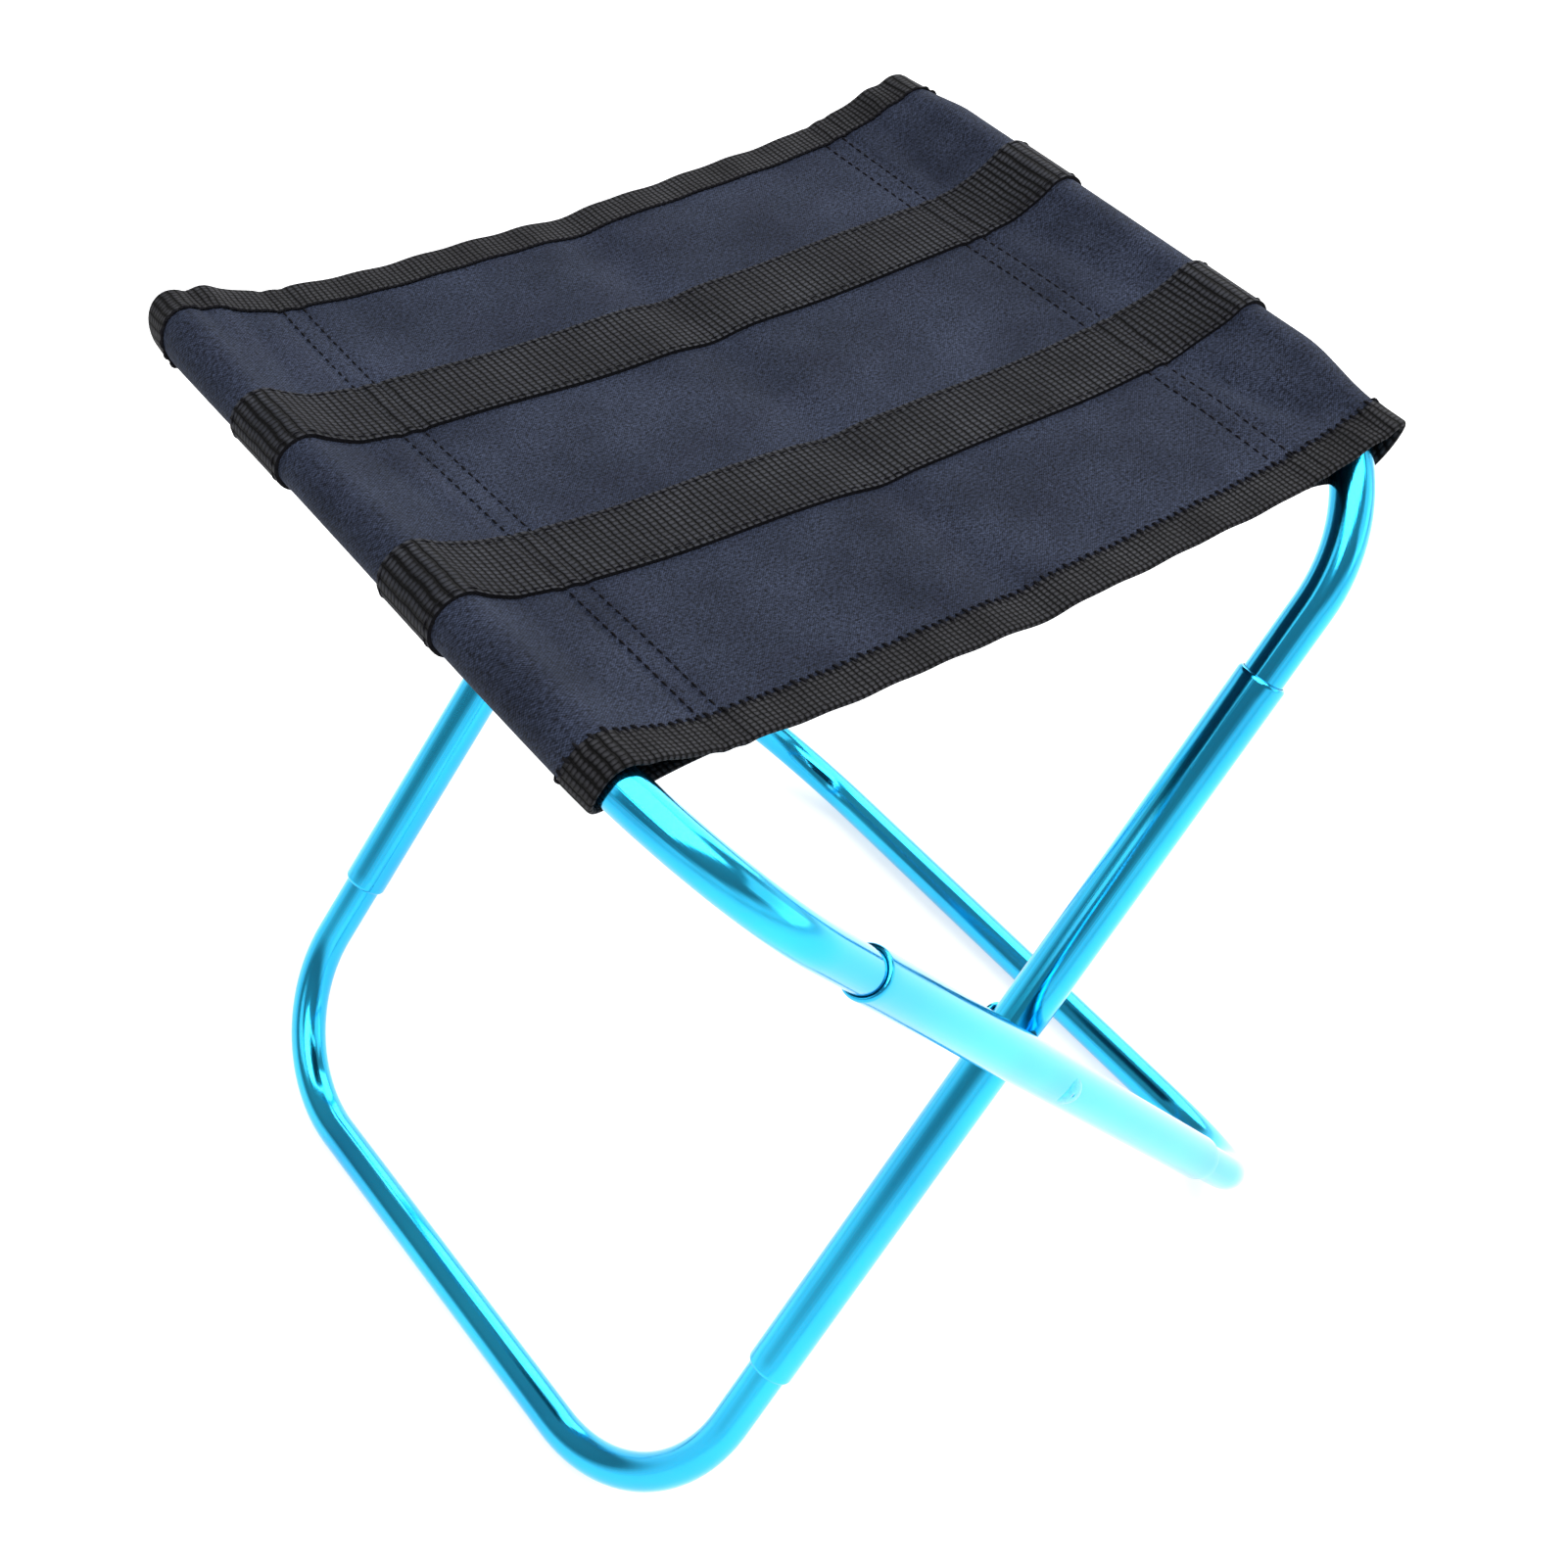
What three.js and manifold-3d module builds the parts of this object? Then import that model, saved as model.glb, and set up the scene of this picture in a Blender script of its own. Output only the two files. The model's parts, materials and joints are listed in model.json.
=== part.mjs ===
// Folding camp stool: two bent-tube loops riveted together at their crossings, with a cloth seat slung
// between their top bars. Millimetres, +Z up. The origin is on the floor at the middle of the footprint,
// X runs from seat bar A to seat bar B, and Y runs along the bars.
import * as THREE from 'three';
import { mergeVertices } from 'three/addons/utils/BufferGeometryUtils.js';
import Module from 'manifold-3d';

const wasm = await Module();
wasm.setup();

// Driving dimensions.
const SEAT_BAR_X = 102.7; // each seat bar's distance from the mid plane
const FOOT_BAR_X = 105.8; // each foot bar's distance from the mid plane
const BAR_RISE = 265.9; // from foot bar centre to seat bar centre
const LOOP_HALF_WIDTH = { a: 117.9, b: 101.5 }; // loop A is outside loop B
const BEND_RADIUS = 42.4;
const BOW_RADIUS = 5.3; // to the flats of its section
const BOW_WALL = 0.9;
const SLEEVE_RADIUS = 6.25;
const SLEEVE_BORE = 5.6;
const SLEEVE_SETBACK = 61.5; // from a bar's centre to the sleeve's mouth
const SLEEVE_LIP = 1.6; // length of the rolled-in mouth
const INSERTION = 34; // how far a bow reaches into a sleeve
const RIVET_RADIUS = 2.0;
const RUNNING_CLEARANCE = 0.1; // between a rivet and the leg that turns on it
const RIVET_HEAD = { radius: 4.4, height: 1.0 };
const RIVET_TAIL = { radius: 3.3, height: 1.4 };
const TAIL_WASHER = { radius: 4.4, thick: 0.9 };
const SPACER_RADIUS = 4.6;
const GAP = 0.3; // between pieces that rest on or in each other
const SEAT_HALF_WIDTH = 90;
const SEAT_SAG = 5; // how far the middle of the cloth hangs below the bar centres
const CLOTH = 1.0;
const TUNNEL_WALL = 1.2;
const WEBBING = { width: 20, thick: 1.2, y: 32 };
const BINDING = { depth: 12, wall: 0.8 };
const PANEL_START = 11; // from a bar's centre to the flat cloth
const PANEL_REACH = { a: 124.5, b: 75 }; // from each bar's centre to the fold across the seat

// Facets.
const BOW_SIDES = 16;
const SLEEVE_SIDES = 20;
const RIVET_SIDES = 16;
const BEND_STEPS = 8;

// Worked out from the driving dimensions.
const LEG_LENGTH = Math.hypot(SEAT_BAR_X + FOOT_BAR_X, BAR_RISE);
const LEG_TILT = Math.atan2(SEAT_BAR_X + FOOT_BAR_X, BAR_RISE);
const UPPER_ARM = (LEG_LENGTH * SEAT_BAR_X) / (SEAT_BAR_X + FOOT_BAR_X);
const LOWER_ARM = LEG_LENGTH - UPPER_ARM;
const PIVOT_Z = BOW_RADIUS + LOWER_ARM * Math.cos(LEG_TILT);
const SEAT_BAR_Z = BOW_RADIUS + BAR_RISE;
const SEAT_SLOPE = Math.atan2(SEAT_SAG, SEAT_BAR_X);
const TUNNEL_RADIUS = BOW_RADIUS + GAP + TUNNEL_WALL;
const SPACER_THICK = LOOP_HALF_WIDTH.a - LOOP_HALF_WIDTH.b - 2 * SLEEVE_RADIUS - 2 * GAP;

// Materials.
const anodised = { color: 0x0c8fc0, roughness: 0.22, metalness: 0.9 };
const rivetMetal = { color: 0x2a9cc4, roughness: 0.3, metalness: 0.9 };
const nylon = { color: 0x14161a, roughness: 0.6, metalness: 0.0 };
const clothFace = { color: 0x1c2230, roughness: 0.85, metalness: 0.0 };
const webbingFace = { color: 0x15171c, roughness: 0.8, metalness: 0.0 };
const bindingFace = { color: 0x101216, roughness: 0.75, metalness: 0.0 };

// A named mesh with a material of its own.
function piece(name, geometry, look, place = (mesh) => mesh) {
  const mesh = new THREE.Mesh(geometry, new THREE.MeshStandardMaterial(look));
  mesh.name = name;
  place(mesh);
  return mesh;
}

// Closed meshes as solids, for cutting.
function toSolid(geometry) {
  const bare = geometry.clone();
  bare.deleteAttribute('normal');
  bare.deleteAttribute('uv');
  const merged = mergeVertices(bare, 1e-4);
  return new wasm.Manifold(
    new wasm.Mesh({
      numProp: 3,
      vertProperties: new Float32Array(merged.attributes.position.array),
      triVerts: new Uint32Array(merged.index.array),
    }),
  );
}

function toGeometry(solid) {
  const mesh = solid.getMesh();
  const geometry = new THREE.BufferGeometry();
  geometry.setAttribute('position', new THREE.BufferAttribute(new Float32Array(mesh.vertProperties), 3));
  geometry.setIndex(new THREE.BufferAttribute(new Uint32Array(mesh.triVerts), 1));
  geometry.computeVertexNormals();
  return geometry;
}

// The centreline of a bow, in its loop's own plane: y across, z along the legs, the bar at z = arm.
// It has a leg of the given length at each end if it turns the full quarter circle at each corner,
// and no legs if it stops part of the way round. Straight stretches take one step.
class BowCurve extends THREE.Curve {
  constructor(halfWidth, arm, up, turn, leg) {
    super();
    const bend = BEND_RADIUS;
    const flat = halfWidth - bend;
    const corner = (side, angle) => {
      const across = side * (flat + bend * Math.sin(angle));
      const along = up * (arm - bend * (1 - Math.cos(angle)));
      return {
        at: new THREE.Vector3(0, across, along),
        way: new THREE.Vector3(0, Math.cos(angle), -side * up * Math.sin(angle)),
      };
    };
    const rising = [];
    const falling = [];
    for (let i = 0; i <= BEND_STEPS; i += 1) {
      const angle = (turn * i) / BEND_STEPS;
      rising.unshift(corner(-1, angle));
      falling.push(corner(1, angle));
    }
    this.stations = [...rising, ...falling];
    if (leg > 0) {
      const foot = (station, way) => ({
        at: station.at.clone().add(new THREE.Vector3(0, 0, -up * leg)),
        way: new THREE.Vector3(0, 0, way),
      });
      this.stations.unshift(foot(rising[0], up));
      this.stations.push(foot(falling[BEND_STEPS], -up));
    }
  }

  get steps() {
    return this.stations.length - 1;
  }

  getPointAt(u, target = new THREE.Vector3()) {
    return target.copy(this.stations[Math.round(u * this.steps)].at);
  }

  getTangentAt(u, target = new THREE.Vector3()) {
    return target.copy(this.stations[Math.round(u * this.steps)].way);
  }
}

// A ring section with flat sides, one of them facing the given direction.
function ringSection(outer, inner, facing) {
  const ring = (toFlats) =>
    Array.from({ length: BOW_SIDES }, (_, i) => {
      const angle = facing + ((i + 0.5) * 2 * Math.PI) / BOW_SIDES;
      const radius = toFlats / Math.cos(Math.PI / BOW_SIDES);
      return new THREE.Vector2(radius * Math.cos(angle), radius * Math.sin(angle));
    });
  const shape = new THREE.Shape(ring(outer));
  shape.holes.push(new THREE.Path(ring(inner)));
  return shape;
}

function sweep(curve, section) {
  return new THREE.ExtrudeGeometry(section, { steps: curve.steps, bevelEnabled: false, extrudePath: curve });
}

// One U-shaped bow of the frame: a bar, two bends and two legs that end inside the sleeves.
function bow(halfWidth, arm, up, facing) {
  const leg = SLEEVE_SETBACK + INSERTION - BEND_RADIUS;
  const curve = new BowCurve(halfWidth, arm, up, Math.PI / 2, leg);
  return sweep(curve, ringSection(BOW_RADIUS, BOW_RADIUS - BOW_WALL, facing));
}

// The cloth sleeve round a seat bar. It follows the bends as far as the cloth's edge.
function tunnel(halfWidth, facing) {
  const turn = Math.asin((SEAT_HALF_WIDTH - (halfWidth - BEND_RADIUS)) / BEND_RADIUS);
  const bore = TUNNEL_RADIUS - TUNNEL_WALL;
  const curve = new BowCurve(halfWidth, UPPER_ARM, 1, turn, 0);
  return sweep(curve, ringSection(TUNNEL_RADIUS, bore, facing));
}

function lathe(profile, sides) {
  return new THREE.LatheGeometry(profile.map(([r, y]) => new THREE.Vector2(r, y)), sides);
}

// A leg's middle tube, from mouth to mouth, with the rivet's hole across it.
function sleeve(holeRadius) {
  const top = UPPER_ARM - SLEEVE_SETBACK;
  const bottom = SLEEVE_SETBACK - LOWER_ARM;
  const inner = SLEEVE_BORE / Math.cos(Math.PI / SLEEVE_SIDES);
  const lip = inner + 0.18;
  const roll = SLEEVE_RADIUS - lip;
  const mouth = (end, inward) =>
    [0, 30, 60, 90].map((degrees) => {
      const angle = (degrees * Math.PI) / 180;
      return [lip + roll * Math.sin(angle), end + inward * SLEEVE_LIP * (1 - Math.cos(angle))];
    });
  const outside = [...mouth(bottom, 1), ...mouth(top, -1).reverse()];
  const profile = [[inner, bottom], ...outside, [inner, top], [inner, bottom]];
  const tube = lathe(profile, SLEEVE_SIDES).rotateX(Math.PI / 2);
  const drill = new THREE.CylinderGeometry(holeRadius, holeRadius, 4 * SLEEVE_RADIUS, RIVET_SIDES);
  return toGeometry(toSolid(tube).subtract(toSolid(drill)));
}

// The rivet, its axis along Y. It starts at its domed head, outside leg A, and ends at the tail
// that is spread over the washer inside leg B. side is -1 for the near legs.
function rivet(side) {
  const headFace = LOOP_HALF_WIDTH.a + SLEEVE_RADIUS + GAP;
  const tailFace = LOOP_HALF_WIDTH.b - SLEEVE_RADIUS - 2 * GAP - TAIL_WASHER.thick;
  const dome = (shape, face, outward) =>
    [0, 30, 60, 90].map((degrees) => {
      const angle = (degrees * Math.PI) / 180;
      return [shape.radius * Math.sin(angle), face + outward * shape.height * Math.cos(angle)];
    });
  const profile = [
    ...dome(RIVET_TAIL, tailFace, -1),
    [RIVET_RADIUS, tailFace],
    [RIVET_RADIUS, headFace],
    ...dome(RIVET_HEAD, headFace, 1).reverse(),
  ];
  return faceTo(side, lathe(profile, RIVET_SIDES));
}

// A flat ring round the rivet, between two distances from the middle of the stool.
function ring(side, radius, from, to) {
  const bore = RIVET_RADIUS + GAP;
  const profile = [[bore, from], [radius, from], [radius, to], [bore, to], [bore, from]];
  return faceTo(side, lathe(profile, RIVET_SIDES));
}

// Turns a shape made for the far side, where y is positive, to face the given side.
function faceTo(side, geometry) {
  return side > 0 ? geometry : geometry.rotateX(Math.PI);
}

// One loop of the frame, in a group that turns at the pivot.
function loop(letter, lean) {
  const width = LOOP_HALF_WIDTH[letter];
  const holeRadius = (RIVET_RADIUS + RUNNING_CLEARANCE) / Math.cos(Math.PI / RIVET_SIDES);
  const group = new THREE.Group();
  group.position.z = PIVOT_Z;
  group.rotation.y = lean * LEG_TILT;
  const facing = -lean * LEG_TILT;
  group.add(piece(`seat_bow_${letter}`, bow(width, UPPER_ARM, 1, facing), anodised));
  group.add(piece(`foot_bow_${letter}`, bow(width, LOWER_ARM, -1, facing), anodised));
  for (const [place, side] of [['near', -1], ['far', 1]]) {
    const put = (mesh) => mesh.position.setY(side * width);
    group.add(piece(`leg_sleeve_${letter}_${place}`, sleeve(holeRadius), anodised, put));
  }
  group.add(piece(`seat_tunnel_${letter}`, tunnel(width, facing), clothFace));
  return group;
}

// The rivets with their washers, which stay with loop A.
function pivots(group) {
  const spacerStart = LOOP_HALF_WIDTH.b + SLEEVE_RADIUS + GAP;
  const washerEnd = LOOP_HALF_WIDTH.b - SLEEVE_RADIUS - GAP;
  for (const [place, side] of [['near', -1], ['far', 1]]) {
    const spacer = ring(side, SPACER_RADIUS, spacerStart, spacerStart + SPACER_THICK);
    const washer = ring(side, TAIL_WASHER.radius, washerEnd - TAIL_WASHER.thick, washerEnd);
    group.add(piece(`pivot_rivet_${place}`, rivet(side), rivetMetal));
    group.add(piece(`pivot_spacer_${place}`, spacer, nylon));
    group.add(piece(`rivet_washer_${place}`, washer, rivetMetal));
  }
}

// Half of the seat: the cloth from one bar to the line where it folds, with its share of the two
// straps and the two edge bindings. x runs inward from the bar, and it leans down to the middle.
function seatHalf(letter, inward) {
  const reach = PANEL_REACH[letter];
  const edge = SEAT_HALF_WIDTH - BINDING.wall - GAP;
  // As the stool folds, the flat cloth swings into the bow's bends, so its corners are cut off beside them.
  const room = BEND_RADIUS - TUNNEL_RADIUS - 2 * GAP;
  const flat = LOOP_HALF_WIDTH[letter] - BEND_RADIUS;
  const besideBend = (distance) => Math.sqrt(room ** 2 - distance ** 2);
  const cornerStart = Math.max(PANEL_START, BEND_RADIUS - besideBend(SEAT_HALF_WIDTH - flat));
  const cornerWidth = Math.min(edge, flat + besideBend(BEND_RADIUS - PANEL_START));
  const outline = [
    [PANEL_START, -cornerWidth], [cornerStart, -edge], [reach, -edge],
    [reach, edge], [cornerStart, edge], [PANEL_START, cornerWidth],
  ].filter(([s, y], i, all) => i === 0 || s !== all[i - 1][0] || y !== all[i - 1][1]);
  const group = new THREE.Group();
  group.position.set(-inward * SEAT_BAR_X, 0, SEAT_BAR_Z);
  group.rotation.y = inward * SEAT_SLOPE;

  const shape = new THREE.Shape(outline.map(([s, y]) => new THREE.Vector2(inward * s, y)));
  const panel = new THREE.ExtrudeGeometry(shape, { depth: CLOTH, bevelEnabled: false });
  group.add(piece(`seat_panel_${letter}`, panel, clothFace, (mesh) => mesh.position.setZ(-CLOTH / 2)));

  for (const [place, side] of [['front', -1], ['rear', 1]]) {
    const length = reach - PANEL_START;
    const strap = new THREE.BoxGeometry(length, WEBBING.width, WEBBING.thick);
    const strapX = inward * (PANEL_START + length / 2);
    const strapZ = CLOTH / 2 + GAP + WEBBING.thick / 2;
    const lay = (mesh) => mesh.position.set(strapX, side * WEBBING.y, strapZ);
    group.add(piece(`${place}_strap_${letter}`, strap, webbingFace, lay));
    const tape = binding(side, inward * cornerStart, inward * reach);
    group.add(piece(`${place}_binding_${letter}`, tape, bindingFace));
  }
  return group;
}

// The tape folded over the cloth's edge, from one distance along x to another.
function binding(side, from, to) {
  const open = SEAT_HALF_WIDTH - BINDING.depth;
  const inside = SEAT_HALF_WIDTH - BINDING.wall;
  const lip = CLOTH / 2 + GAP;
  const skin = lip + BINDING.wall;
  const outline = [
    [open, -skin], [SEAT_HALF_WIDTH, -skin], [SEAT_HALF_WIDTH, skin], [open, skin],
    [open, lip], [inside, lip], [inside, -lip], [open, -lip],
  ];
  const shape = new THREE.Shape(outline.map(([y, z]) => new THREE.Vector2(side * y, z)));
  const depth = Math.abs(to - from);
  const tape = new THREE.ExtrudeGeometry(shape, { depth, bevelEnabled: false });
  // The outline's y and z, and the length along x, go to the part's own axes.
  const axes = new THREE.Matrix4().makeBasis(
    new THREE.Vector3(0, 1, 0), new THREE.Vector3(0, 0, 1), new THREE.Vector3(1, 0, 0),
  );
  return tape.applyMatrix4(axes).translate(Math.min(from, to), 0, 0);
}

const stool = new THREE.Group();
const loopA = loop('a', -1);
pivots(loopA);
stool.add(loopA, loop('b', 1), seatHalf('a', 1), seatHalf('b', -1));

export default stool;
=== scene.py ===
"""The looks of a folding camp stool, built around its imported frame.

Lengths are in millimetres until a mesh is made, and the row frame's axes are used throughout: X from seat
bar A (left) to seat bar B, Y along the bars with the near legs at -Y, +Z up.
"""

import json
import math

import bpy
import numpy as np
from mathutils import Matrix, Vector


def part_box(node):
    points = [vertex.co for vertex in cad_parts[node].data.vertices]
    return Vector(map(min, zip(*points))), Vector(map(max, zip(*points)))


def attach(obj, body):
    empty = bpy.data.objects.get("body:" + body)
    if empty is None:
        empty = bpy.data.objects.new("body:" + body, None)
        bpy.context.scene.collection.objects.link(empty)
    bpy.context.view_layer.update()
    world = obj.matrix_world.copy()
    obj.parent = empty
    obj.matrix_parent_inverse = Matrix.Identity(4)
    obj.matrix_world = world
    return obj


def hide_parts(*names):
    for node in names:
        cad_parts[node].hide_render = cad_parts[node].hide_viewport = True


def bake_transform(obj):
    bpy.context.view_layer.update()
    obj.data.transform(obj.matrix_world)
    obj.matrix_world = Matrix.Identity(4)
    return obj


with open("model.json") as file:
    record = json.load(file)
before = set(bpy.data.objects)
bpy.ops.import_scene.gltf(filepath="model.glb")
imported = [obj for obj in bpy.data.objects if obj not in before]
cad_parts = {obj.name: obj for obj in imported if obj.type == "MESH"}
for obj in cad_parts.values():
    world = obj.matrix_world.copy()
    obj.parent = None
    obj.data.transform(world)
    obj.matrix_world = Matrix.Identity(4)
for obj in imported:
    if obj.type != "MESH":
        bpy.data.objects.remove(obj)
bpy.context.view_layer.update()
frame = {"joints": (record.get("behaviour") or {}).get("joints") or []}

MM = 0.001
SIDES = {"a": -1, "b": 1}


# ---------------------------------------------------------------- sizes taken from the frame


def box_mm(node):
    low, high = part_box(node)
    return np.array(low) / MM, np.array(high) / MM


def joint(name):
    return next(j for j in frame["joints"] if j["name"] == name)


PIVOT_Z = joint("fold")["pos_m"][2] / MM
BAR_X = joint("seat_b_drop")["pos_m"][0] / MM
BAR_Z = joint("seat_b_drop")["pos_m"][2] / MM
BOW_R = (box_mm("seat_bow_a")[1][2] - BAR_Z) * math.cos(math.pi / 16)
HALF = {k: box_mm(f"foot_bow_{k}")[1][1] - BOW_R / math.cos(math.pi / 16) for k in SIDES}
FOOT_X = -box_mm("foot_bow_b")[0][0] - BOW_R
LEG_TILT = math.atan2(BAR_X + FOOT_X, BAR_Z - BOW_R)
UPPER_ARM = (BAR_Z - PIVOT_Z) / math.cos(LEG_TILT)
LOWER_ARM = (PIVOT_Z - BOW_R) / math.cos(LEG_TILT)

BEND_R = 42.4
SLEEVE_R = 6.25
SLEEVE_SETBACK = 61.5
INSERTION = 30.0
CLOTH_R = BOW_R + 0.9  # outside of the two layers of cloth round a bar
CLOTH = 0.5
WEBBING = 0.9
TAPE = 0.45


# ---------------------------------------------------------------- shader helpers


def rgb(r, g, b):
    return (r, g, b, 1.0)


class Graph:
    """Adds nodes to a material with short calls."""

    def __init__(self, name):
        self.material = bpy.data.materials.new(name)
        self.material.use_nodes = True
        self.tree = self.material.node_tree
        self.tree.nodes.clear()
        self.shader = self.add("ShaderNodeBsdfPrincipled")
        output = self.add("ShaderNodeOutputMaterial")
        self.tree.links.new(self.shader.outputs[0], output.inputs["Surface"])

    def add(self, kind, **values):
        node = self.tree.nodes.new(kind)
        for key, value in values.items():
            setattr(node, key, value)
        return node

    def link(self, source, target):
        self.tree.links.new(source, target)

    def set(self, **values):
        for key, value in values.items():
            self.shader.inputs[key.replace("_", " ")].default_value = value

    def math(self, operation, a, b=None, c=None):
        node = self.add("ShaderNodeMath", operation=operation)
        for i, value in enumerate((a, b, c)):
            if value is None:
                continue
            if isinstance(value, (int, float)):
                node.inputs[i].default_value = value
            else:
                self.link(value, node.inputs[i])
        return node.outputs[0]

    def place(self, name):
        """The x and y of a vector attribute of the mesh, in millimetres along the cloth or tube."""
        attribute = self.add("ShaderNodeAttribute", attribute_name=name)
        split = self.add("ShaderNodeSeparateXYZ")
        self.link(attribute.outputs["Vector"], split.inputs[0])
        return attribute.outputs["Vector"], split.outputs[0], split.outputs[1]

    def noise(self, scale, detail=3.0, rough=0.5, vector=None, stretch=None):
        node = self.add("ShaderNodeTexNoise")
        node.inputs["Scale"].default_value = scale
        node.inputs["Detail"].default_value = detail
        node.inputs["Roughness"].default_value = rough
        if vector is None:
            vector = self.add("ShaderNodeTexCoord").outputs["Object"]
        if stretch is not None:
            mapping = self.add("ShaderNodeMapping")
            mapping.inputs["Scale"].default_value = stretch
            self.link(vector, mapping.inputs["Vector"])
            vector = mapping.outputs[0]
        self.link(vector, node.inputs["Vector"])
        return node.outputs["Fac"]

    def ramp(self, value, stops):
        node = self.add("ShaderNodeValToRGB")
        elements = node.color_ramp.elements
        while len(elements) < len(stops):
            elements.new(0.5)
        for element, (at, colour) in zip(elements, stops):
            element.position = at
            element.color = colour
        self.link(value, node.inputs[0])
        return node.outputs[0]

    def mix(self, factor, a, b, blend="MIX"):
        node = self.add("ShaderNodeMix", data_type="RGBA", blend_type=blend)
        for i, value in ((0, factor), (6, a), (7, b)):
            if isinstance(value, (int, float, tuple)):
                node.inputs[i].default_value = value
            else:
                self.link(value, node.inputs[i])
        return node.outputs[2]

    def wave(self, coordinate, pitch, phase=0.0):
        """A sine of the coordinate from -1 to 1, one period for each pitch."""
        return self.math("SINE", self.math("MULTIPLY_ADD", coordinate, 2 * math.pi / pitch, phase))

    def bump(self, height, distance, strength=1.0):
        node = self.add("ShaderNodeBump")
        node.inputs["Distance"].default_value = distance
        node.inputs["Strength"].default_value = strength
        self.link(height, node.inputs["Height"])
        self.link(node.outputs[0], self.shader.inputs["Normal"])


def anodised(name="anodised_tube"):
    """Bright dyed anodising over drawn aluminium tube, with faint draw lines along it."""
    g = Graph(name)
    vector, _, _ = g.place("along")
    lines = g.noise(1.0, 2.0, 0.6, vector, (2.6, 0.012, 1.0))
    patches = g.noise(22.0, 2.0, 0.5)
    colour = g.ramp(patches, [(0.3, rgb(0.012, 0.42, 0.74)), (0.7, rgb(0.020, 0.54, 0.84))])
    g.link(colour, g.shader.inputs["Base Color"])
    g.link(g.math("MULTIPLY_ADD", lines, 0.10, 0.10), g.shader.inputs["Roughness"])
    g.set(Metallic=1.0, Coat_Weight=0.35, Coat_Roughness=0.08, Coat_IOR=1.6)
    g.bump(lines, 0.00006, 0.6)
    return g.material


def cut_metal():
    """Bare edge and inside of the tube, seen at its mouths."""
    g = Graph("cut_metal")
    grain = g.noise(900.0, 2.0)
    colour = g.ramp(grain, [(0.3, rgb(0.01, 0.20, 0.30)), (0.7, rgb(0.02, 0.34, 0.46))])
    g.link(colour, g.shader.inputs["Base Color"])
    g.set(Metallic=1.0, Roughness=0.38)
    g.bump(grain, 0.00002, 0.4)
    return g.material


def rivet_metal():
    g = Graph("rivet_metal")
    grain = g.noise(700.0, 3.0)
    colour = g.ramp(grain, [(0.3, rgb(0.03, 0.42, 0.62)), (0.7, rgb(0.05, 0.55, 0.76))])
    g.link(colour, g.shader.inputs["Base Color"])
    g.link(g.math("MULTIPLY_ADD", grain, 0.12, 0.22), g.shader.inputs["Roughness"])
    g.set(Metallic=1.0, Coat_Weight=0.3, Coat_Roughness=0.1)
    g.bump(grain, 0.00003, 0.4)
    return g.material


def nylon():
    g = Graph("black_nylon")
    grain = g.noise(1200.0, 3.0)
    colour = g.ramp(grain, [(0.3, rgb(0.010, 0.011, 0.013)), (0.7, rgb(0.022, 0.024, 0.028))])
    g.link(colour, g.shader.inputs["Base Color"])
    g.link(g.math("MULTIPLY_ADD", grain, 0.2, 0.42), g.shader.inputs["Roughness"])
    g.bump(grain, 0.00005, 0.5)
    return g.material


def oxford_cloth():
    """Dark navy plain weave: fine crossing threads, soft uneven fading and a little lint."""
    g = Graph("oxford_cloth")
    vector, u, v = g.place("weave")
    wobble = g.math("MULTIPLY_ADD", g.noise(0.35, 2.0, 0.5, vector), 0.5, -0.25)
    warp = g.wave(g.math("ADD", u, wobble), 0.66)
    weft = g.wave(g.math("ADD", v, wobble), 0.66)
    weave = g.math("MULTIPLY", warp, weft)
    slub = g.noise(1.3, 2.0, 0.55, vector, (0.8, 1.2, 1.0))
    fading = g.noise(0.030, 4.0, 0.62, vector)
    fine = g.noise(1.7, 2.0, 0.6, vector)
    base = g.ramp(fading, [(0.30, rgb(0.0070, 0.0095, 0.0185)), (0.70, rgb(0.0195, 0.0247, 0.0425))])
    thread_shade = g.math("MULTIPLY_ADD", weave, 0.5, 0.5)
    colour = g.mix(1.0, base, g.ramp(thread_shade, [(0.0, rgb(0.5, 0.5, 0.5)), (1.0, rgb(1.3, 1.3, 1.3))]), "MULTIPLY")
    mixed = g.math("MULTIPLY_ADD", slub, 0.5, g.math("MULTIPLY", fine, 0.5))
    colour = g.mix(1.0, colour, g.ramp(mixed, [(0.38, rgb(0.25, 0.25, 0.25)), (0.62, rgb(1.95, 1.95, 1.95))]), "MULTIPLY")
    g.link(colour, g.shader.inputs["Base Color"])
    g.link(g.math("MULTIPLY_ADD", fine, 0.15, 0.72), g.shader.inputs["Roughness"])
    g.set(Sheen_Weight=0.04, Sheen_Roughness=0.4, Sheen_Tint=rgb(0.6, 0.75, 1.0), Specular_IOR_Level=0.09)
    g.bump(g.math("ADD", weave, g.math("MULTIPLY", slub, 0.8)), 0.00005, 0.8)
    return g.material


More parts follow.
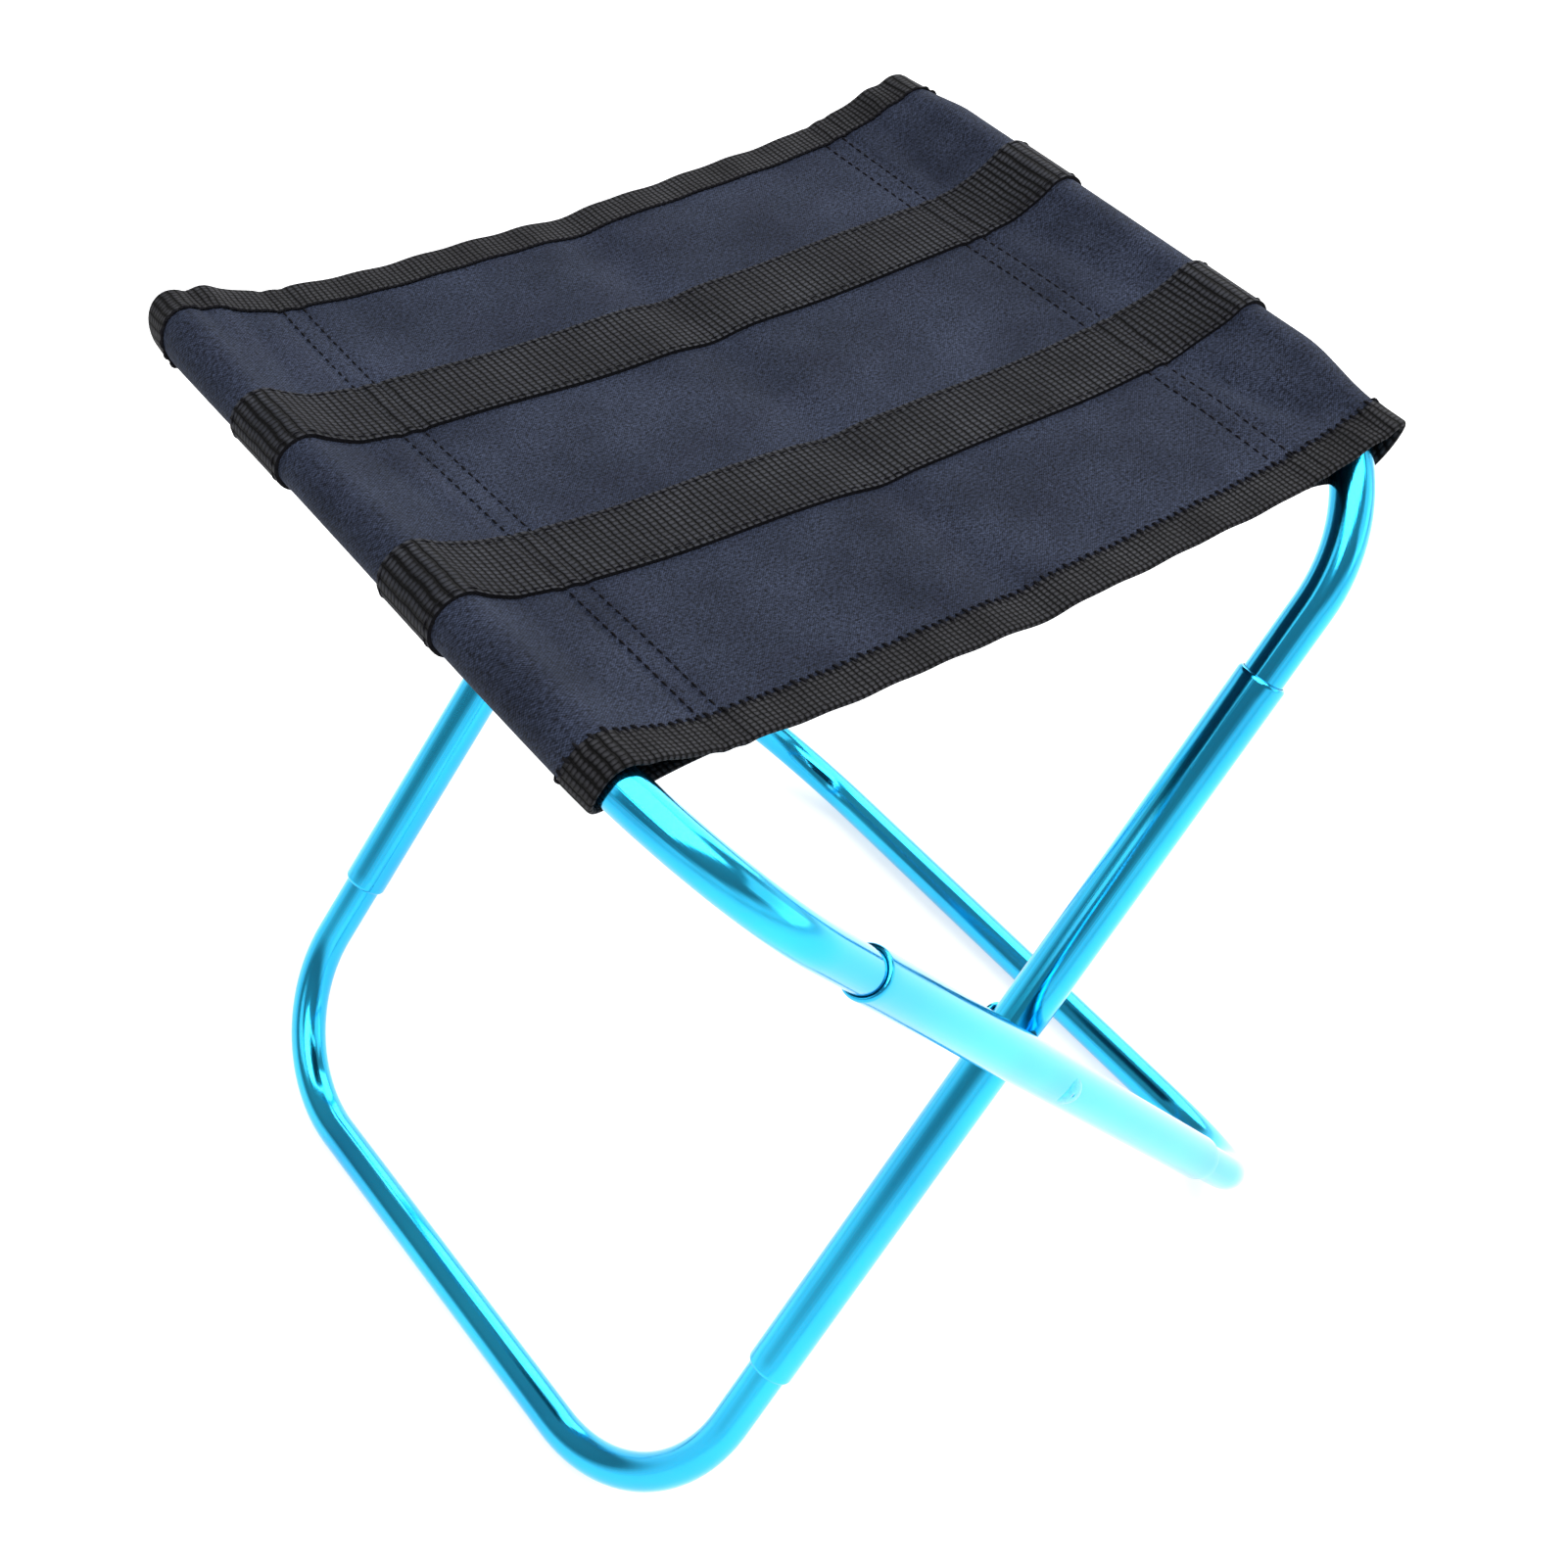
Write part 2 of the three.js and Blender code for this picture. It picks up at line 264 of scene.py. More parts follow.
def ribbed_tape(name, rib, pick, low, high):
    """Woven tape: ribs of one pitch, broken into picks of another, with painted shade in the gaps between and lighter
    crests.
    """
    g = Graph(name)
    vector, u, v = g.place("weave")
    wobble = g.math("MULTIPLY_ADD", g.noise(0.22, 2.0, 0.5, vector), 0.8, -0.4)
    ribs = g.math("ABSOLUTE", g.wave(g.math("ADD", u, wobble), 2 * rib))
    picks = g.math("ABSOLUTE", g.wave(g.math("ADD", v, wobble), 2 * pick))
    height = g.math("MULTIPLY", g.math("POWER", ribs, 0.6), g.math("MULTIPLY_ADD", g.math("POWER", picks, 0.6), 0.6, 0.4))
    wear = g.noise(0.05, 3.0, 0.6, vector)
    fine = g.noise(2.5, 2.0, 0.6, vector)
    base = g.ramp(wear, [(0.3, low), (0.7, high)])
    # painted shade: the colour is darkened where the weave dips between ribs and picks, and lightened on their crests
    colour = g.mix(1.0, base, g.ramp(height, [(0.48, rgb(0.04, 0.04, 0.04)), (0.97, rgb(1.9, 1.9, 1.9))]), "MULTIPLY")
    colour = g.mix(1.0, colour, g.ramp(fine, [(0.3, rgb(0.7, 0.7, 0.7)), (0.7, rgb(1.3, 1.3, 1.3))]), "MULTIPLY")
    g.link(colour, g.shader.inputs["Base Color"])
    g.link(g.math("MULTIPLY_ADD", fine, 0.15, 0.62), g.shader.inputs["Roughness"])
    g.set(Sheen_Weight=0.02, Sheen_Roughness=0.4, Specular_IOR_Level=0.07)
    g.bump(height, 0.00035, 0.9)
    return g.material


def thread(name="black_thread"):
    g = Graph(name)
    twist = g.noise(2500.0, 2.0)
    colour = g.ramp(twist, [(0.3, rgb(0.003, 0.003, 0.004)), (0.7, rgb(0.010, 0.010, 0.012))])
    g.link(colour, g.shader.inputs["Base Color"])
    g.set(Roughness=0.8, Specular_IOR_Level=0.03)
    g.bump(twist, 0.00005, 0.5)
    return g.material


def floor_material():
    g = Graph("pale_floor")
    mottle = g.noise(3.0, 3.0)
    colour = g.ramp(mottle, [(0.3, rgb(0.54, 0.54, 0.54)), (0.7, rgb(0.57, 0.57, 0.57))])
    g.link(colour, g.shader.inputs["Base Color"])
    g.set(Roughness=0.7, Specular_IOR_Level=0.2, Emission_Color=rgb(1.0, 1.0, 1.0), Emission_Strength=0.62)
    return g.material


# ---------------------------------------------------------------- mesh helpers


def make_mesh(name, points, faces, materials, coordinates=None, attribute="weave", face_slots=None):
    """A smooth-shaded object from points in millimetres, with coordinates in millimetres for its pattern."""
    mesh = bpy.data.meshes.new(name)
    mesh.from_pydata((np.asarray(points) * MM).tolist(), [], [list(f) for f in faces])
    for material in materials:
        mesh.materials.append(material)
    if face_slots is not None:
        mesh.polygons.foreach_set("material_index", np.asarray(face_slots, np.int32))
    mesh.polygons.foreach_set("use_smooth", np.ones(len(mesh.polygons), bool))
    if coordinates is not None:
        layer = mesh.attributes.new(attribute, "FLOAT_VECTOR", "POINT")
        flat = np.zeros((len(points), 3), np.float32)
        flat[:, :2] = coordinates
        layer.data.foreach_set("vector", flat.ravel())
    mesh.update()
    obj = bpy.data.objects.new(name, mesh)
    bpy.context.scene.collection.objects.link(obj)
    return obj


def grid_faces(rows, columns, close_rows=False, close_columns=False, start=0):
    r = np.arange(rows if close_rows else rows - 1)
    c = np.arange(columns if close_columns else columns - 1)
    r, c = np.meshgrid(r, c, indexing="ij")
    r2, c2 = (r + 1) % rows, (c + 1) % columns
    quads = np.stack([r * columns + c, r2 * columns + c, r2 * columns + c2, r * columns + c2], -1)
    return (quads.reshape(-1, 4) + start).tolist()


def sweep(name, centres, radii, normal, materials, sides=48, hole=None):
    """A round tube along a centreline in a plane with the given normal. radii may change along it.
    With a hole it is a real tube whose mouths are open, and otherwise its ends are closed."""
    centres = np.asarray(centres, float)
    n = len(centres)
    along = np.concatenate([[0], np.cumsum(np.linalg.norm(np.diff(centres, axis=0), axis=1))])
    tangent = np.gradient(centres, along + np.arange(n) * 1e-6, axis=0)
    tangent /= np.linalg.norm(tangent, axis=1)[:, None]
    out = np.cross(tangent, normal)
    angle = np.arange(sides) * 2 * np.pi / sides
    ring = np.cos(angle)[None, :, None] * out[:, None, :] + np.sin(angle)[None, :, None] * np.asarray(normal, float)
    points = (centres[:, None, :] + ring * np.asarray(radii)[:, None, None]).reshape(-1, 3)
    coordinates = np.stack(np.broadcast_arrays(angle[None, :] * BOW_R, along[:, None]), -1).reshape(-1, 2)
    faces = grid_faces(n, sides, close_columns=True)
    slots = [0] * len(faces)
    if hole is None:
        faces.append(list(range(sides)))
        faces.append(list(range((n - 1) * sides, n * sides))[::-1])
        slots += [0, 0]
    else:
        inner = (centres[:, None, :] + ring * hole).reshape(-1, 3)
        count = len(points)
        faces += [f[::-1] for f in grid_faces(n, sides, close_columns=True, start=count)]
        slots += [1] * (len(faces) - len(slots))
        for row, flip in ((0, False), (n - 1, True)):
            for i in range(sides):
                j = (i + 1) % sides
                a, b = row * sides + i, row * sides + j
                quad = [a, b, count + b, count + a]
                faces.append(quad[::-1] if flip else quad)
                slots.append(1)
        points = np.concatenate([points, inner])
        coordinates = np.concatenate([coordinates, coordinates])
    return make_mesh(name, points, faces, materials, coordinates, "along", slots)


def revolve(name, profile, centre, materials, sides=64):
    """A closed profile of (radius, distance along Y) turned about an axis along Y through centre."""
    profile = np.asarray(profile, float)
    angle = np.arange(sides) * 2 * np.pi / sides
    x = profile[:, None, 0] * np.cos(angle) + centre[0]
    z = profile[:, None, 0] * np.sin(angle) + centre[2]
    y = np.broadcast_to(profile[:, None, 1] + centre[1], x.shape)
    points = np.stack([x, y, z], -1).reshape(-1, 3)
    faces = grid_faces(len(profile), sides, close_rows=True, close_columns=True)
    return make_mesh(name, points, faces, materials)


def weld_and_orient(obj):
    """Joins coincident points and turns every face outward."""
    import bmesh

    bm = bmesh.new()
    bm.from_mesh(obj.data)
    bmesh.ops.remove_doubles(bm, verts=bm.verts, dist=1e-6)
    bmesh.ops.recalc_face_normals(bm, faces=bm.faces)
    bm.to_mesh(obj.data)
    bm.free()
    return obj


def finish_piece(obj, bodies, replaced):
    """Parents the piece to its body's empty, or, given the two bodies it would bend between, only bakes its transform
    in place without using them; then hides the CAD nodes it stands for.
    """
    if isinstance(bodies, str):
        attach(obj, bodies)
    else:
        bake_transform(obj)
    if replaced:
        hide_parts(*replaced)
    return obj


# ---------------------------------------------------------------- the frame's tubes

TUBE_MATERIALS = [anodised(), cut_metal()]
RIVET = [rivet_metal()]
NYLON = [nylon()]


def loop_plane(side):
    """Directions of one loop: up along its legs, and square to its plane."""
    lean = side * LEG_TILT
    up = np.array([math.sin(lean), 0.0, math.cos(lean)])
    return up, np.array([math.cos(lean), 0.0, -math.sin(lean)])


def bow_centreline(half, arm, direction):
    """Across (y) and along the legs, from one leg's end round the bar to the other's."""
    flat = half - BEND_R
    leg_end = arm - SLEEVE_SETBACK - INSERTION
    path = [(-half, s) for s in np.linspace(leg_end, arm - BEND_R, 12)[:-1]]
    for t in np.linspace(0, math.pi / 2, 28):
        path.append((-flat - BEND_R * math.cos(t), arm - BEND_R + BEND_R * math.sin(t)))
    path += [(y, arm) for y in np.linspace(-flat, flat, 16)[1:-1]]
    for t in np.linspace(math.pi / 2, 0, 28):
        path.append((flat + BEND_R * math.cos(t), arm - BEND_R + BEND_R * math.sin(t)))
    path += [(half, s) for s in np.linspace(arm - BEND_R, leg_end, 12)[1:]]
    return [(y, direction * s) for y, s in path]


def add_bow(letter, part, arm, direction):
    up, normal = loop_plane(SIDES[letter])
    pivot = np.array([0.0, 0.0, PIVOT_Z])
    path = bow_centreline(HALF[letter], arm, direction)
    centres = [pivot + np.array([0, y, 0]) + up * s for y, s in path]
    name = f"{part}_bow_tube_{letter}"
    tube = sweep(name, centres, [BOW_R] * len(centres), normal, TUBE_MATERIALS, hole=BOW_R - 0.9)
    weld_and_orient(tube)
    finish_piece(tube, f"frame_{letter}", [f"{part}_bow_{letter}"])


def add_sleeve(letter, place, side_y):
    """A leg's middle tube. Its mouths roll in to the bow."""
    up, normal = loop_plane(SIDES[letter])
    top, bottom = UPPER_ARM - SLEEVE_SETBACK, -(LOWER_ARM - SLEEVE_SETBACK)
    base = np.array([0.0, side_y * HALF[letter], PIVOT_Z])
    lip, roll = BOW_R + 0.30, 1.1
    stations, radii = [], []
    for t in np.linspace(0, math.pi / 2, 9):
        stations.append(bottom + roll * (1 - math.cos(t)))
        radii.append(lip + (SLEEVE_R - lip) * math.sin(t))
    for s in np.linspace(bottom + roll, top - roll, 60)[1:-1]:
        stations.append(s)
        radii.append(SLEEVE_R)
    for t in np.linspace(math.pi / 2, 0, 9):
        stations.append(top - roll * (1 - math.cos(t)))
        radii.append(lip + (SLEEVE_R - lip) * math.sin(t))
    centres = [base + up * s for s in stations]
    name = f"leg_sleeve_tube_{letter}_{place}"
    tube = sweep(name, centres, radii, normal, TUBE_MATERIALS, hole=BOW_R + 0.12)
    weld_and_orient(tube)
    finish_piece(tube, f"frame_{letter}", [f"leg_sleeve_{letter}_{place}"])


def dome(radius, height, face, outward, steps=9):
    turns = np.linspace(math.pi / 2, 0.04, steps)
    return [(radius * math.sin(t), face + outward * height * math.cos(t)) for t in turns]


def hug_tube(rivet, side_y):
    """Form the rivet's head over the round sleeve that it is set in."""
    for vertex in rivet.data.vertices:
        x, y, z = (c / MM for c in vertex.co)
        if side_y * y > HALF["a"]:
            off_axis = x * math.cos(LEG_TILT) + (z - PIVOT_Z) * math.sin(LEG_TILT)
            vertex.co.y += side_y * (math.sqrt(SLEEVE_R**2 - off_axis**2) - SLEEVE_R) * MM


def add_pivot(place, side_y):
    """Rivet, spacer and tail washer of one crossing."""
    centre = (0.0, 0.0, PIVOT_Z)
    head = side_y * (HALF["a"] + SLEEVE_R - 0.35)
    tail = side_y * (HALF["b"] - SLEEVE_R - 1.3)
    core = 0.02
    profile = [(core, head)] + [(r, y) for r, y in dome(4.4, 0.75, head, side_y)[::-1]]
    profile += [(2.0, head), (2.0, tail)]
    profile += [(r, y) for r, y in dome(2.9, 0.9, tail, -side_y)]
    rivet = weld_and_orient(revolve(f"pivot_rivet_dome_{place}", profile, centre, RIVET))
    hug_tube(rivet, side_y)
    finish_piece(rivet, "frame_a", [f"pivot_rivet_{place}"])
    ring = []
    inner, outer = side_y * (HALF["b"] + SLEEVE_R), side_y * (HALF["a"] - SLEEVE_R)
    for t in np.linspace(-math.pi / 2, math.pi / 2, 9):
        middle, half = (inner + outer) / 2, abs(outer - inner) / 2
        ring.append((3.7 + 0.8 * math.cos(t), middle + half * math.sin(t)))
    ring += [(2.2, ring[-1][1]), (2.2, ring[0][1])]
    spacer = weld_and_orient(revolve(f"pivot_spacer_ring_{place}", ring, centre, NYLON))
    finish_piece(spacer, "frame_a", [f"pivot_spacer_{place}"])
    low, high = side_y * (HALF["b"] - SLEEVE_R - 1.25), side_y * (HALF["b"] - SLEEVE_R - 0.1)
    flat = [(2.2, low), (3.5, low), (3.8, low + 0.25 * side_y), (3.8, high - 0.25 * side_y), (3.5, high), (2.2, high)]
    washer = weld_and_orient(revolve(f"rivet_washer_ring_{place}", flat, centre, RIVET))
    finish_piece(washer, "frame_a", [f"rivet_washer_{place}"])


for letter in SIDES:
    add_bow(letter, "seat", UPPER_ARM, 1)
    add_bow(letter, "foot", LOWER_ARM, -1)
    for place, side_y in (("near", -1), ("far", 1)):
        add_sleeve(letter, place, side_y)
for place, side_y in (("near", -1), ("far", 1)):
    add_pivot(place, side_y)


# ---------------------------------------------------------------- the shape of the seat cloth

# Along the cloth, u runs from the middle of the seat (0) over the bar and back underneath to the hem's
# stitching. Across it, v runs from 0 at the front edge to 1 at the rear edge. The cloth has crept a little
# along the bars, so it lies slightly askew.
TOP = BAR_X
WRAP = math.pi * CLOTH_R
UNDER = 31.0
FRONT_EDGE = {"a": -88.5, "b": -95.0}
REAR_EDGE = {"a": 94.5, "b": 84.5}
HEM_ROWS = (74.5, 79.5)
MIDDLE_Z = BAR_Z - 5.0
STRAP_V = {"front": (0.361, 0.333), "rear": (0.705, 0.694)}  # at bar A and at bar B
STRAP_WIDTH = 20.0
EDGE_CROWN = 4.5  # how far each edge climbs, gently, from the seat's middle towards the bars
CORNER_LIFT = {"a": {"front": 8.0, "rear": 11.0}, "b": {"front": 5.0, "rear": 8.0}}  # then sharply at each corner
CORNER_REACH = 9.5
CREASE_DEPTH, CREASE_WIDTH = 1.35, 7.0  # the seat's middle fold, deep enough for the straps to close face to face
CORNER_PUFF = {"a": (0.0, 2.2), "b": (0.0, 0.3)}  # how far the cloth stands off its bar, front and rear
UNDER_INSET = {"a": 4.5, "b": 7.0}  # how far in from the cloth's edges its underside ends
SLACK = {"a": (1.0, -0.2), "b": (-0.1, 0.6)}  # how far the tunnel stands off the bar, front and rear
TAPE_WIDTH = 9.0
END_LIFT = 9.6  # how fast the cloth settles inboard of the bar


def lerp(a, b, t):
    return a + (b - a) * t


def gauss(x, middle, width):
    return np.exp(-(((x - middle) / width) ** 2))


def smooth(x, low, high):
    t = np.clip((x - low) / (high - low), 0, 1)
    return t * t * (3 - 2 * t)


def edges_at(side, u):
    """The front and rear edges' y at a distance from the middle, the same for both halves at u = 0."""
    letter = "a" if side < 0 else "b"
    share = np.clip(u / TOP, 0, 1)
    front_middle = (FRONT_EDGE["a"] + FRONT_EDGE["b"]) / 2
    rear_middle = (REAR_EDGE["a"] + REAR_EDGE["b"]) / 2
    return lerp(front_middle, FRONT_EDGE[letter], share), lerp(rear_middle, REAR_EDGE[letter], share)


def bend_drop(side, y):
    """How far the bar has dropped along the leg at y, past the start of its bend."""
    half = HALF["a" if side < 0 else "b"]
    over = np.clip((np.abs(y) - (half - BEND_R)) / BEND_R, 0, 0.95)
    return BEND_R * (1 - np.sqrt(1 - over**2))


def cloth_drop(side, y):
    """The cloth's top follows the bar's drop only so far, because its bound edge is stiff."""
    most = np.where(y < 0, 3.5, 1.8) if side > 0 else np.full_like(y, 2.0)
    drop = bend_drop(side, y)
    return most * (1 - np.exp(-drop / most))


def ripples(x, y):
    """Soft unevenness of cloth under light tension."""
    slow = 0.40 * np.sin(x / 23.0 + 0.8) * np.sin(y / 31.0 - 0.4)
    mid = 0.20 * np.sin(x / 9.0 + y / 17.0) + 0.15 * np.sin(x / 13.0 - y / 11.0 + 1.7)
    return slow + mid


def edge_height(side, which, x):
    """The height of the seat's front or rear edge: a shallow curve that lifts sharply beside each bar."""
    lift = CORNER_LIFT["a" if side < 0 else "b"][which]
    gentle = EDGE_CROWN * (x / BAR_X) ** 2 - CREASE_DEPTH * gauss(x, 0.0, CREASE_WIDTH)
    return MIDDLE_Z + gentle + lift * np.exp(-(BAR_X - CLOTH_R - x) / CORNER_REACH)


def folds(side, x, y, v):
    """Long shallow folds that run from the hems into the seat."""
    d = BAR_X - np.abs(x)
    if side < 0:
        lines = ((0.22, 12, 2.2, -0.5, 0.05), (0.55, 15, 3.0, -0.6, -0.10), (0.86, 13, 2.6, -0.7, 0.1))
    else:
        lines = ((0.16, 15, 4.0, -2.3, 0.28), (0.52, 13, 3.0, -0.9, 0.1), (0.84, 16, 3.2, -0.9, -0.12))
    total = 0.0
    for middle, depth_at, width, height, slant in lines:
        along = gauss(v, middle, 0.11)
        total = total + height * along * gauss(d, depth_at + slant * (v - middle) * 180, width)
    return total


def seat_height(side, x, y, v, top=None, leave_x=None):
    """The height of the seat's top at x, lifted towards the bar's top and pulled to the heights of its two edges."""
    crown = 4.2 * (x / BAR_X) ** 2
    seams = sum(gauss(x, row, 1.3) for row in HEM_ROWS)
    inboard = smooth(BAR_X - x, 3, 12) * smooth(x, 0, 18)
    crown = crown - CREASE_DEPTH * gauss(x, 0.0, CREASE_WIDTH)
    height = MIDDLE_Z + crown + ripples(side * x, y) * inboard + folds(side, x, y, v) - 0.55 * seams
    if top is None:
        return height
    height = height + (top - seat_height(side, leave_x, y, v)) * np.exp(-(leave_x - x) / END_LIFT)
    clear = smooth(leave_x - x, 0, 7)
    pucker = 0.35 * smooth(x, 0, 18) * np.sin(side * x / 3.4) * np.sin(side * x / 7.9 + 1.0)
    front, rear = smooth(v, 0.15, 0.0) * clear, smooth(v, 0.87, 0.995) * clear
    height = lerp(height, edge_height(side, "front", x) - 0.4 * seams + pucker, front)
    return lerp(height, edge_height(side, "rear", x) - 0.4 * seams + pucker, rear)


def cloth_surface(side, u, v):
    """Points of the cloth's outer face in millimetres, for arrays of u and v."""
    front, rear = edges_at(side, u)
    y = lerp(front, rear, v)
    lean = LEG_TILT
    letter = "a" if side < 0 else "b"
    drop = cloth_drop(side, y)
    radius = CLOTH_R + lerp(*SLACK[letter], smooth(v, 0.1, 0.8))
    puff = CORNER_PUFF[letter][0] * smooth(v, 0.14, 0.02) + CORNER_PUFF[letter][1] * smooth(v, 0.78, 0.95)
    top_x, top_z = BAR_X - drop * math.sin(lean), BAR_Z - drop * math.cos(lean) + puff
    leave = np.full_like(y, 0.6)
    for _ in range(6):
        rise = top_z + radius * np.cos(leave) - MIDDLE_Z - 4.0
        leave = np.arctan(np.clip(rise / END_LIFT, 0.05, 1.2) + 0.08)
    leave_x = top_x - radius * np.sin(leave)
    leave_z = top_z + radius * np.cos(leave)
    x_top = leave_x * np.clip(u / TOP, 0, 1)
    z_top = seat_height(side, x_top, y, v, leave_z, leave_x)

    # Round the bend, the cloth's edge stays square to the tube, so its underside ends further in.
    turn = np.clip((u - TOP) / WRAP, 0, 1)
    back = np.clip((u - TOP - WRAP) / UNDER, 0, 1)
    under_share = smooth(turn, 0.35 if side < 0 else 0.0, 1.0) * (1 - 0.75 * back**2)
    inset = UNDER_INSET[letter] * smooth(np.abs(2 * v - 1), 0.55, 1.0)
    y_in = y - np.sign(y) * inset * under_share
    real = bend_drop(side, y_in)
    low_x, low_z = BAR_X - real * math.sin(lean), BAR_Z - real * math.cos(lean)
    end_x = np.full_like(y, HEM_ROWS[0] - 1.5)
    end_z = seat_height(side, end_x, y, v, leave_z, leave_x) - 2 * CLOTH - 0.3
    reach, climb = low_x - end_x, end_z - low_z
    past = np.arctan2(climb, reach) + np.arcsin(np.clip(radius / np.hypot(reach, climb), 0, 1))

    angle = lerp(-leave, np.pi + past, turn)
    slide = smooth(turn, 0.15, 0.9)
    x_wrap = lerp(top_x, low_x, slide) + radius * np.sin(angle)
    z_wrap = lerp(top_z, low_z, slide) + radius * np.cos(angle)
    x_low = lerp(low_x - radius * np.sin(past), end_x, back)
    z_low = lerp(low_z - radius * np.cos(past), end_z, back)

    x = np.where(u <= TOP, x_top, np.where(u <= TOP + WRAP, x_wrap, x_low))
    z = np.where(u <= TOP, z_top, np.where(u <= TOP + WRAP, z_wrap, z_low))
    return np.stack([side * x, np.where(u <= TOP, y, y_in), z], -1)


def cloth_normal(side, u, v):
    """The outward direction of the cloth at arrays of u and v, upward on the seat's top."""
    du, dv = 0.4, 0.002
    across = cloth_surface(side, u, np.clip(v + dv, 0, 1)) - cloth_surface(side, u, np.clip(v - dv, 0, 1))
    along = cloth_surface(side, u + du, v) - cloth_surface(side, np.maximum(u - du, 0), v)
    normal = np.cross(along, across) * side
    return normal / np.linalg.norm(normal, axis=-1)[..., None]


def shell(name, side, u, v, base, thick, materials, slots=None, pattern=None):
    """A closed strip of cloth over a grid of (u, v), from base to base + thick above the cloth's face."""
    points, normals = cloth_surface(side, u, v), cloth_normal(side, u, v)
    outer, inner = points + normals * (base + thick), points + normals * base
    rows, columns = u.shape
    count = rows * columns
    faces = grid_faces(rows, columns) + [f[::-1] for f in grid_faces(rows, columns, start=count)]
    kinds = [0] * len(faces)
    border = [(0, c) for c in range(columns)] + [(r, columns - 1) for r in range(1, rows)]
    border += [(rows - 1, c) for c in range(columns - 2, -1, -1)] + [(r, 0) for r in range(rows - 2, 0, -1)]
    ids = [r * columns + c for r, c in border]
    for a, b in zip(ids, ids[1:] + ids[:1]):
        faces.append([a, b, count + b, count + a])
        kinds.append(1 if len(materials) > 1 else 0)
    if pattern is None:
        front, rear = edges_at(side, u)
        pattern = np.stack([side * u, lerp(front, rear, v)], -1)
    flat = pattern.reshape(-1, 2)
    whole = np.concatenate([outer.reshape(-1, 3), inner.reshape(-1, 3)])
    obj = make_mesh(name, whole, faces, materials, np.concatenate([flat, flat]), "weave", kinds)
    import bmesh

    bm = bmesh.new()
    bm.from_mesh(obj.data)
    bmesh.ops.recalc_face_normals(bm, faces=bm.faces)
    bm.to_mesh(obj.data)
    bm.free()
    obj.data.set_sharp_from_angle(angle=math.radians(50))
    return obj


def bend_with_seat(letter):
    """The two bodies a seat piece would bend between, and the span from just inboard of its bar to clear of the hem;
    finish_piece does not use them.
    """
    side = SIDES[letter]
    start = (side * (BAR_X - 4) * MM, 0, BAR_Z * MM)
    end = (side * (BAR_X - 34) * MM, 0, BAR_Z * MM)
    return (f"frame_{letter}", f"seat_{letter}", start, end)


def u_grid(step=1.5, end=TOP + WRAP + UNDER):
    """Distances along the cloth, closer together round the bar."""
    flat = np.linspace(0, TOP - 20, max(2, int((TOP - 20) / step)))
    near = np.linspace(TOP - 20, TOP, 22)[1:]
    wrap = np.linspace(TOP, TOP + WRAP, 26)[1:]
    under = np.linspace(TOP + WRAP, TOP + WRAP + UNDER, 20)[1:]
    u = np.concatenate([flat, near, wrap, under])
    return u[u <= end + 1e-6]


# ---------------------------------------------------------------- the seat's pieces

CLOTH_FACE = [oxford_cloth()]
TAPE_RIB, TAPE_PICK = 1.45, 1.15
# the second material of each strap and tape is black thread on their edge walls: partly real edge thread, partly
# painted shade along the raised edges
STRAP_FACE = [ribbed_tape("strap_webbing", 1.75, 1.30, rgb(0.0085, 0.0090, 0.0115), rgb(0.0190, 0.0200, 0.0240)), thread("strap_edge_thread_and_shade")]
TAPE_FACE = [ribbed_tape("edge_tape", TAPE_RIB, TAPE_PICK, rgb(0.0090, 0.0090, 0.0105), rgb(0.0190, 0.0195, 0.0220)), thread("tape_edge_thread_and_shade")]
THREAD = [thread()]


def add_cloth(letter):
    side = SIDES[letter]
    u, v = np.meshgrid(u_grid(), np.linspace(0, 1, 128), indexing="ij")
    cloth = shell(f"seat_cloth_{letter}", side, u, v, -CLOTH, CLOTH, CLOTH_FACE)
    finish_piece(cloth, bend_with_seat(letter), [f"seat_panel_{letter}", f"seat_tunnel_{letter}"])
    return cloth


def strap_v(side, which, u):
    """The strap's middle, across the cloth."""
    at_a, at_b = STRAP_V[which]
    share = np.clip(u / TOP, 0, 1)
    return lerp((at_a + at_b) / 2, at_a if side < 0 else at_b, share)


def width_in_v(side, u, width):
    front, rear = edges_at(side, u)
    return width / (rear - front)


def add_strap(letter, which):
    side = SIDES[letter]
    u, w = np.meshgrid(u_grid(1.2), np.linspace(-0.5, 0.5, 25), indexing="ij")
    waver = 0.25 * np.sin(u / 11.0 + (0 if which == "front" else 2))
    v = strap_v(side, which, u) + width_in_v(side, u, w * STRAP_WIDTH + waver)
    pattern = np.stack([side * u, w * STRAP_WIDTH], -1)
    name = f"{which}_strap_webbing_{letter}"
    strap = shell(name, side, u, v, 0.05, WEBBING, STRAP_FACE, pattern=pattern)
    finish_piece(strap, bend_with_seat(letter), [f"{which}_strap_{letter}"])
    return strap


